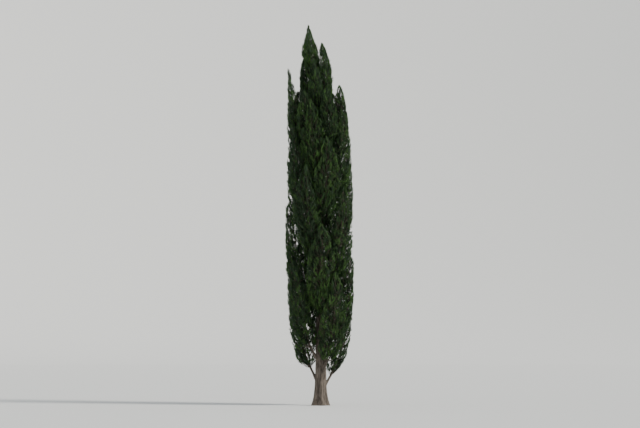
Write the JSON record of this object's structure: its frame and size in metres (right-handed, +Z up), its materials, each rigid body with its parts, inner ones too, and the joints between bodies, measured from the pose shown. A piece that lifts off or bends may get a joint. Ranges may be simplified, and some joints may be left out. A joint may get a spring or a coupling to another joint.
{
  "type": "pencil cypress tree",
  "caption": "Tall, narrow evergreen tree: a tapering flared trunk and upright plumes of dark foliage that close into a pointed column, its top leaning slightly.",
  "frame": {"origin": "centre of the trunk's flat cut at ground level", "axes": "+Z up along the trunk, -Y the front that the picture shows, +X to the right seen from the front"},
  "size_m": [2.1365, 2.1477, 12],
  "materials": {
    "bark": "rough",
    "foliage": "matte"
  },
  "bodies": {
    "root": {"trunk": "bark", "bough_1": "bark", "bough_2": "bark", "bough_3": "bark", "bough_4": "bark", "bough_5": "bark", "bough_6": "bark", "bough_7": "bark", "bough_8": "bark", "foliage_01": "foliage", "foliage_02": "foliage", "foliage_03": "foliage", "foliage_04": "foliage", "foliage_05": "foliage", "foliage_06": "foliage", "foliage_07": "foliage", "foliage_08": "foliage", "foliage_09": "foliage", "foliage_10": "foliage", "foliage_11": "foliage", "foliage_12": "foliage", "foliage_13": "foliage", "foliage_14": "foliage", "foliage_15": "foliage", "foliage_16": "foliage", "foliage_17": "foliage", "foliage_18": "foliage", "foliage_19": "foliage", "foliage_20": "foliage", "foliage_21": "foliage", "foliage_22": "foliage", "foliage_right_top": "foliage", "foliage_back_top": "foliage", "foliage_left_top": "foliage", "foliage_front_top": "foliage", "foliage_right_shoulder": "foliage", "foliage_left_spire": "foliage", "foliage_right_back": "foliage", "foliage_back_shoulder": "foliage", "foliage_left_back": "foliage", "foliage_left_front": "foliage", "foliage_right_front": "foliage", "foliage_leader": "foliage"}
  },
  "joints": []
}
